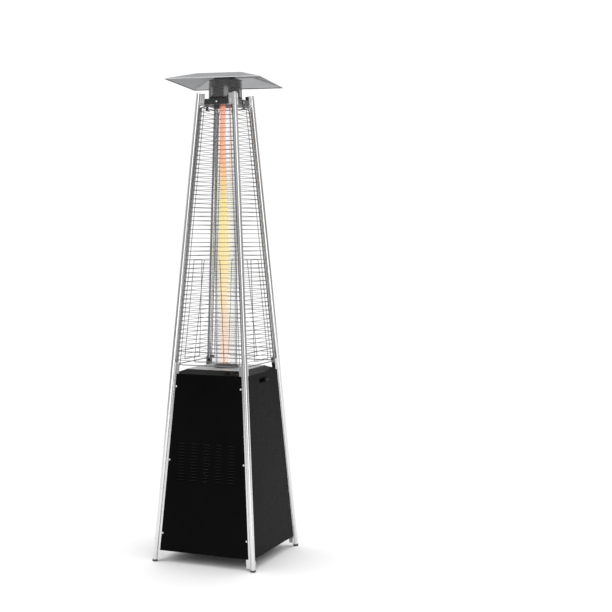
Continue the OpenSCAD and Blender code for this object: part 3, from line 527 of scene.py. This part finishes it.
def copies(matrices):
    """One joined piece made of a copy of the active piece at each matrix."""
    model = bpy.context.object
    bake_place()
    clones = []
    for matrix in matrices:
        clone = model.copy()
        clone.data = model.data.copy()
        clone.data.transform(matrix)
        bpy.context.scene.collection.objects.link(clone)
        clones.append(clone)
    clear_selection()
    bpy.data.objects.remove(model)
    for clone in clones:
        clone.select_set(True)
    bpy.context.view_layer.objects.active = clones[0]
    if len(clones) > 1:
        bpy.ops.object.join()
    return bpy.context.object


# ------------------------------------------------------------------ finish list

FINISHES = {
    "leg_steel": drawn_steel("drawn tube", (0.70, 0.70, 0.705), (1, 1, 0.02)),
    "zinc": plated_steel("zinc plate"),
    "plate_steel": drawn_steel("satin plate", (0.62, 0.62, 0.62), (0.03, 1, 1), (0.28, 0.42)),
    "black_paint": powder_coat("black coat", (0.0021, 0.0021, 0.0024), (0.24, 0.36), ior=1.10),
    "gloss_black": powder_coat("stove enamel", (0.030, 0.030, 0.031), (0.18, 0.28), coat=1.0, ior=1.7),
    "foot_rubber": soft_rubber("foot rubber", (0.045, 0.045, 0.05)),
    "latch_plastic": moulded("latch plastic", (0.002, 0.002, 0.002), ior=1.08),
    "grip_plastic": moulded("grip plastic", (0.010, 0.010, 0.011), ior=1.18),
    "knob_plastic": moulded("knob plastic", (0.012, 0.012, 0.013)),
    "brass": machined_brass("turned brass", (0.72, 0.53, 0.24)),
    "pipe_alloy": machined_brass("copper pipe", (0.70, 0.36, 0.22)),
    "couple_metal": machined_brass("copper sheath", (0.60, 0.38, 0.24)),
    "switch_plastic": moulded("switch housing", (0.02, 0.02, 0.022)),
    "button_plastic": moulded("red button", (0.45, 0.02, 0.015), (0.2, 0.3)),
    "lead_rubber": soft_rubber("lead sleeve", (0.35, 0.03, 0.02)),
    "burner_iron": browned_iron("browned iron", (0.10, 0.09, 0.08)),
    "ceramic": glazed_ceramic("electrode ceramic", (0.85, 0.82, 0.75)),
    "glass": clear_glass("tube glass"),
    "fibre": woven_fibre("fibre rope", (0.75, 0.74, 0.70)),
    "guard_steel": drawn_steel("guard wire", (0.17, 0.172, 0.178), (1, 1, 1), (0.24, 0.38)),
    "roof_aluminium": rolled_aluminium("rolled sheet", (0.43, 0.433, 0.437)),
}

FRAME_COAT = powder_coat("frame coat", (0.022, 0.022, 0.023), (0.3, 0.45))
LOUVRE_COAT = powder_coat("louvre coat", (0.003, 0.003, 0.0032), (0.14, 0.22), ior=1.2)


def dress_made_parts():
    """Every node of the frame gets its slot's finish."""
    for entry in frame["record"]["subparts"]:
        node = NODES[entry["node"]]
        node.data.materials.clear()
        node.data.materials.append(FINISHES[entry["material_slot"]])
    for name in ("top_frame", "head_ring", "guard_hooks"):
        NODES[name].data.materials[0] = FRAME_COAT


# ------------------------------------------------------------------ new pieces

def cut(box_size, place_at):
    """Cuts a block out of the active piece."""
    piece = bpy.context.object
    bpy.ops.object.select_all(action="DESELECT")
    cutter = block(box_size, place_at)
    bpy.ops.object.select_all(action="DESELECT")
    piece.select_set(True)
    bpy.context.view_layer.objects.active = piece
    apply_modifier("BOOLEAN", operation="DIFFERENCE", object=cutter, solver="EXACT")
    bpy.data.objects.remove(cutter)


def join_to(first):
    """Joins the active piece into an earlier one."""
    second = bpy.context.object
    bpy.ops.object.select_all(action="DESELECT")
    second.select_set(True)
    first.select_set(True)
    bpy.context.view_layer.objects.active = first
    bpy.ops.object.join()
    return first


def screw_model(head_r, shank_r, shank_l):
    """A pan-head screw standing on z = 0 with a cross recess in its domed head."""
    high = head_r * 0.56
    dome = [(head_r * math.cos(a), high * 0.25 + high * 0.75 * math.sin(a))
            for a in (0, 0.3, 0.6, 0.9, 1.2, 1.42)]
    shank = [(shank_r * 0.6, -shank_l), (shank_r, -shank_l + shank_r * 0.5), (shank_r, 0)]
    turned(shank + [(head_r * 0.96, 0)] + dome, 24, solid=True)
    for long, wide in ((head_r * 0.95, head_r * 0.2), (head_r * 0.2, head_r * 0.95)):
        cut((long, wide, high), (0, 0, high * 0.98))


def make_panel_screws():
    """Three screws up each side of the three fixed panels, each turned its own way."""
    screw_model(4.5 * MM, 2 * MM, 8.6 * MM)
    copies([on_face_at(turn, x, z, PANEL_T) @ Matrix.Rotation(0.4 + 1.3 * z + side, 4, "Z")
            for turn in (FACES["front"], FACES["back"], FACES["left"])
            for z in SCREW_HEIGHTS for side, x in by_the_legs(z, SCREW_INSET)])
    finished("panel_screw_heads", FINISHES["zinc"], "heater", ["panel_screws"])


def make_guard_screws():
    """One screw through each guard's hook and two through the tabs at its foot."""
    screw_model(4.5 * MM, 2 * MM, 5.6 * MM)
    copies([on_face_at(turn, 0, HOOK_SCREW_Z, 0) @ Matrix.Rotation(turn, 4, "Z") for turn in FACES.values()])
    upper = bpy.context.object
    screw_model(3.75 * MM, 2 * MM, 4.6 * MM)
    copies([on_face_at(turn, x, GUARD_TAB_Z, 0) @ Matrix.Rotation(turn + side, 4, "Z")
            for turn in FACES.values() for side, x in by_the_legs(GUARD_TAB_Z, BOLT_INSET)])
    join_to(upper)
    finished("guard_screw_heads", FINISHES["zinc"], "heater", ["guard_screws"])


def make_frame_bolts():
    """Domed bolts through the leg tabs, their hexagon nuts inside the top frame."""
    turned([(1.6 * MM, -8.8 * MM), (2.5 * MM, -8 * MM), (2.5 * MM, 0), (4.1 * MM, 0), (4.25 * MM, 0.5 * MM),
            (4.0 * MM, 1.3 * MM), (3.3 * MM, 2.1 * MM), (1.8 * MM, 2.5 * MM)], 24, solid=True)
    for long, wide in ((4 * MM, 0.9 * MM), (0.9 * MM, 4 * MM)):
        cut((long, wide, 2.4 * MM), (0, 0, 2.6 * MM))
    bolt = bpy.context.object
    hexagon = [(4.2 * MM, -7.4 * MM), (4.5 * MM, -7.0 * MM), (4.5 * MM, -3.8 * MM), (4.2 * MM, -3.4 * MM)]
    turned(hexagon, 6, solid=True)
    join_to(bolt)
    copies([on_face_at(turn, x, z, 0) @ Matrix.Rotation(turn + z, 4, "Z")
            for turn in FACES.values() for z in BOLT_HEIGHTS for side, x in by_the_legs(z, BOLT_INSET)])
    finished("tab_bolts", FINISHES["zinc"], "heater", ["frame_bolts"], smooth=40)


def make_louvres():
    """Pressed hoods over the vent slots, open along their lower edges."""
    clear_selection()
    bpy.ops.mesh.primitive_uv_sphere_add(segments=16, ring_count=8, radius=1, rotation=(0, math.pi / 2, 0))
    bake_place()
    bpy.ops.object.mode_set(mode="EDIT")
    bpy.ops.mesh.select_all(action="SELECT")
    bpy.ops.transform.resize(value=(19 * MM, 4.6 * MM, 2.6 * MM), center_override=(0, 0, 0))
    bpy.ops.mesh.select_all(action="SELECT")
    bpy.ops.mesh.bisect(plane_co=(0, 0, 0), plane_no=(0, 0, 1), clear_inner=True)
    bpy.ops.mesh.select_all(action="SELECT")
    bpy.ops.mesh.bisect(plane_co=(0, 0.9 * MM, 0), plane_no=(0, 1, 0.2), clear_inner=True)
    bpy.ops.object.mode_set(mode="OBJECT")
    apply_modifier("SOLIDIFY", thickness=0.7 * MM, offset=-1)
    middle = (VENT_COLUMN_COUNT - 1) // 2
    copies([on_face_at(FACES["front"], (column - middle) * VENT_COLUMN_PITCH,
                       VENT_LOW + row * VENT_ROW_PITCH, PANEL_T)
            for column in range(VENT_COLUMN_COUNT) for row in range(VENT_ROW_COUNT)])
    finished("vent_louvres", LOUVRE_COAT, "heater", smooth=50)


def make_feet():
    """Moulded caps: a rounded foot, a waist and a lip round the tube's end."""
    profile = [(9.2 * MM, 0)] + arc((FOOT_R - 1.8 * MM, 1.8 * MM), 1.8 * MM, -90, 0, 5)
    profile += arc((FOOT_R - 1.2 * MM, 4.2 * MM), 1.2 * MM, 0, 80, 4)
    profile += [(11.5 * MM, 5.9 * MM), (11.7 * MM, 6.6 * MM), (11.9 * MM, 8.6 * MM), (11.6 * MM, 9.2 * MM),
                (10.6 * MM, 9.2 * MM)]
    turned(profile, 48, solid=True)
    copies([Matrix.Translation((x * BASE_HALF, y * BASE_HALF, 0)) for x in SIDES for y in SIDES])
    finished("feet", FINISHES["foot_rubber"], "heater", ["foot_caps"], smooth=45)


def make_reflector():
    """One folded sheet: a flat middle, four falling sides with soft folds and a turned-down edge."""
    low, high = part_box("reflector")
    turn = math.radians(REFLECTOR_TURN)
    rim = high.x / (math.cos(turn) + math.sin(turn)) - 0.1 * MM
    flat = rim * REFLECTOR_FLAT_W / REFLECTOR_W
    top = high.z
    hem = 3 * MM
    clear_selection()
    bpy.ops.mesh.primitive_plane_add(size=2 * flat, location=(0, 0, top))
    bpy.ops.object.mode_set(mode="EDIT")
    bpy.ops.mesh.select_mode(type="EDGE")
    bpy.ops.mesh.select_all(action="SELECT")
    bpy.ops.mesh.subdivide(number_cuts=9)
    bpy.ops.mesh.select_all(action="SELECT")
    bpy.ops.mesh.region_to_loop()
    slope = [(reach, top - (top - low.z - hem) * (reach - flat) / (rim - flat))
             for reach in (rim * 0.65, rim * 0.85, rim)]
    edge = [(rim, low.z), (rim - 3 * MM, low.z + 0.4 * MM)]
    half, z_now = flat, top
    for reach, z in slope + edge:
        bpy.ops.mesh.extrude_region_move(TRANSFORM_OT_translate={"value": (0, 0, z - z_now)})
        bpy.ops.transform.resize(value=(reach / half, reach / half, 1), center_override=(0, 0, z))
        half, z_now = reach, z
    bpy.ops.mesh.select_all(action="SELECT")
    bpy.ops.mesh.normals_make_consistent(inside=False)
    bpy.ops.transform.rotate(value=-turn, orient_axis="Z", center_override=(0, 0, top))
    bpy.ops.object.mode_set(mode="OBJECT")
    apply_modifier("BEVEL", width=1.6 * MM, segments=3, limit_method="ANGLE", angle_limit=math.radians(9))
    apply_modifier("SOLIDIFY", thickness=1.0 * MM, offset=-1)
    finished("reflector_sheet", FINISHES["roof_aluminium"], "heater", ["reflector"],
             smooth=30)


def make_drum():
    """Drum over the glass: a rolled bead at its foot and a straight wall that steps in a little at its top, under
    the lid.
    """
    low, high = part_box("head_drum")
    r, wall = high.x - 1.5 * MM, 1.2 * MM
    bead = high.x - r
    profile = [(r - wall, low.z + 0.6 * MM)]
    profile += arc((r + bead - 1.5 * MM, low.z + 1.5 * MM), 1.5 * MM, -120, 90, 8)
    profile += [(r, low.z + 3.6 * MM)]
    profile += [(r, low.z + (high.z - low.z) * t) for t in (0.15, 0.35, 0.55, 0.72)]
    profile += [(r - wall, low.z + (high.z - low.z) * 0.985), (r - wall, low.z + 0.6 * MM)]
    turned(profile, 96, closed=True)
    finished("drum", FINISHES["gloss_black"], "heater", ["head_drum"])


def make_lid():
    """Pressed lid with a short skirt, a rolled shoulder and a sloping edge up to its flat middle."""
    low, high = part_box("head_lid")
    r, wall, skirt, slope = high.x, 1.2 * MM, 5 * MM, 29 * MM
    top = high.z
    profile = [(r - wall, low.z), (r, low.z), (r, low.z + skirt - 2 * MM)]
    profile += arc((r - 2.4 * MM, low.z + skirt - 2 * MM), 2.4 * MM, 12, 60, 4)
    profile += [(r - slope + 4 * MM, top - 1.9 * MM), (r - slope + 1 * MM, top - 0.8 * MM),
                (r - slope - 3 * MM, top), (8 * MM, top)]
    under = [(8 * MM, top - wall), (r - slope - 3 * MM, top - wall), (r - slope + 3 * MM, top - 3 * MM),
             (r - 3.4 * MM, low.z + skirt - 0.9 * MM), (r - wall, low.z + skirt - 2.6 * MM),
             (r - wall, low.z)]
    turned(profile + under, 96, closed=True)
    finished("lid", FINISHES["gloss_black"], "heater", ["head_lid"])


def make_knob():
    """Fluted control knob with a raised pointer, on the back face."""
    base, low_r = 7.5 * MM, 22 * MM
    profile = [(low_r - 0.8 * MM, 0), (low_r, 0.8 * MM), (low_r, 6.4 * MM), (low_r - 1.4 * MM, 8.2 * MM),
               (18.9 * MM, 8.6 * MM), (18.6 * MM, 10 * MM), (17.4 * MM, 18.6 * MM), (16.4 * MM, 19.8 * MM),
               (14 * MM, 20.1 * MM)]
    turned(profile, 72, solid=True)
    bpy.ops.object.mode_set(mode="EDIT")
    bpy.ops.mesh.select_mode(type="FACE")
    bpy.ops.mesh.select_all(action="DESELECT")
    bpy.ops.object.mode_set(mode="OBJECT")
    for face in bpy.context.object.data.polygons:
        facet = round(math.degrees(math.atan2(face.center.y, face.center.x)) % 360 / 5 - 0.5)
        on_grip = 10.2 * MM < face.center.z < 18.4 * MM
        face.select = on_grip and facet % 3 == 0                 # every third facet sinks to a flute
    bpy.ops.object.mode_set(mode="EDIT")
    bpy.ops.mesh.extrude_region_shrink_fatten(TRANSFORM_OT_shrink_fatten={"value": -0.8 * MM})
    bpy.ops.object.mode_set(mode="OBJECT")
    knob = bpy.context.object
    bpy.ops.object.select_all(action="DESELECT")
    block((6 * MM, 31 * MM, 16 * MM), (0, 0, 16 * MM))
    apply_modifier("BEVEL", width=1.3 * MM, segments=3)
    join_to(knob)
    place(on_face_at(FACES["back"], 0, CONTROL_Z, base))
    finished("ribbed_knob", FINISHES["knob_plastic"], "knob", ["control_knob"])
    clear_selection()
    block((1.6 * MM, 9 * MM, 0.3 * MM), (0, 10.5 * MM, 24 * MM))
    apply_modifier("BEVEL", width=0.12 * MM, segments=2)
    place(on_face_at(FACES["back"], 0, CONTROL_Z, base - 0.05 * MM))
    finished("knob_mark", painted_mark("white mark", (0.8, 0.8, 0.78)), "knob")


def make_latch_grip():
    """Oval turning grip with rounded edges and a waist, on its spindle."""
    clear_selection()
    grip = block((34 * MM, 14 * MM, 9 * MM), (0, 0, 8.1 * MM))
    bpy.ops.object.mode_set(mode="EDIT")
    bpy.ops.mesh.select_mode(type="EDGE")
    bpy.ops.mesh.select_all(action="DESELECT")
    bpy.ops.object.mode_set(mode="OBJECT")
    for edge in grip.data.edges:
        a, b = (grip.data.vertices[i].co for i in edge.vertices)
        edge.select = abs(a.z - b.z) > 1 * MM
    bpy.ops.object.mode_set(mode="EDIT")
    bpy.ops.mesh.bevel(offset=6.6 * MM, segments=8)
    bpy.ops.object.mode_set(mode="OBJECT")
    apply_modifier("BEVEL", width=1.6 * MM, segments=3, limit_method="ANGLE", angle_limit=math.radians(50))
    spindle = [(2.4 * MM, -12.5 * MM), (2.4 * MM, -7.5 * MM), (4 * MM, -7.5 * MM), (4 * MM, 4.2 * MM)]
    turned(spindle, 32, solid=True)
    join_to(grip)
    place(on_face_at(FACES["door"], LATCH_X, LATCH_Z, 0))
    finished("latch_grip", FINISHES["grip_plastic"], "latch", ["latch_knob"])


def make_fire(name, radii, at, waver, thick):
    """One column of fire over the burner: radii in millimetres at even heights from foot to tip."""
    low, high = PLATE_TOP + 19 * MM, GLASS_HIGH - 26 * MM
    spans = len(radii) - 1
    steps = 3 * spans
    rings = []
    for i in range(steps + 1):
        t = i / steps
        k = min(int(t * spans), spans - 1)
        f = t * spans - k
        r = radii[k] * (1 - f) + radii[k + 1] * f + 0.5 * math.sin(i * 1.7)
        x = at[0] + waver * MM * math.sin(t * 13)
        y = at[1] + waver * MM * math.cos(t * 9)
        rings.append((r * MM, low + t * (high - low), x, y))
    turned(rings, 32)
    finished(name, flame_glow("fire of " + name, low, high, thick), "heater", smooth=60)


def make_flame():
    """A tall slim flame that wavers a little, with a fainter tongue beside it."""
    flame = (24, 25, 25, 25, 26, 28, 29, 30, 30, 29, 27, 24, 21, 19, 18, 17, 17, 17, 16)
    tongue = (5, 6, 6, 6, 5.5, 5, 5, 5, 4.6, 4.4, 4.4, 4.2, 4, 4, 4, 4, 4, 4, 4)
    make_fire("flame", flame, (-10 * MM, -4 * MM), 1.6, 1.0)
    make_fire("flame_tongue", tongue, (19 * MM, 8 * MM), 1.2, 0.4)


def make_glass():
    """Long glass tube with fire-polished, rounded ends."""
    r, wall, lip = GLASS_R, 3 * MM, 1.5 * MM
    rings = [(r - wall, GLASS_LOW + lip)]
    rings += arc((r - lip, GLASS_LOW + lip), lip, 180, 360, 6)[1:]
    spans = 12
    straight = GLASS_HIGH - GLASS_LOW - 2 * lip
    rings += [(r, GLASS_LOW + lip + straight * i / spans) for i in range(1, spans)]
    rings += arc((r - lip, GLASS_HIGH - lip), lip, 0, 180, 6)
    rings.append((r - wall, GLASS_LOW + lip))
    turned(rings, 96, closed=True)
    finished("glass_wall", FINISHES["glass"], "heater", ["glass_tube"])


def make_floor():
    """Wide pale floor, half a millimetre under the feet."""
    clear_selection()
    bpy.ops.mesh.primitive_plane_add(size=60, location=(0, 0, -0.5 * MM))
    floor = bpy.context.object
    floor.name = "floor"
    f = Finish("pale floor", (0.78, 0.78, 0.78), rough=0.7)
    f.tone(f.noise(1.4, detail=3), 0.995, 1.0)
    floor.data.materials.append(f.mat)


make_camera()
make_studio()
dress_made_parts()
make_floor()
make_feet()
make_louvres()
make_panel_screws()
make_latch_grip()
make_knob()
make_guard_screws()
make_frame_bolts()
make_reflector()
make_drum()
make_lid()
make_glass()
make_flame()
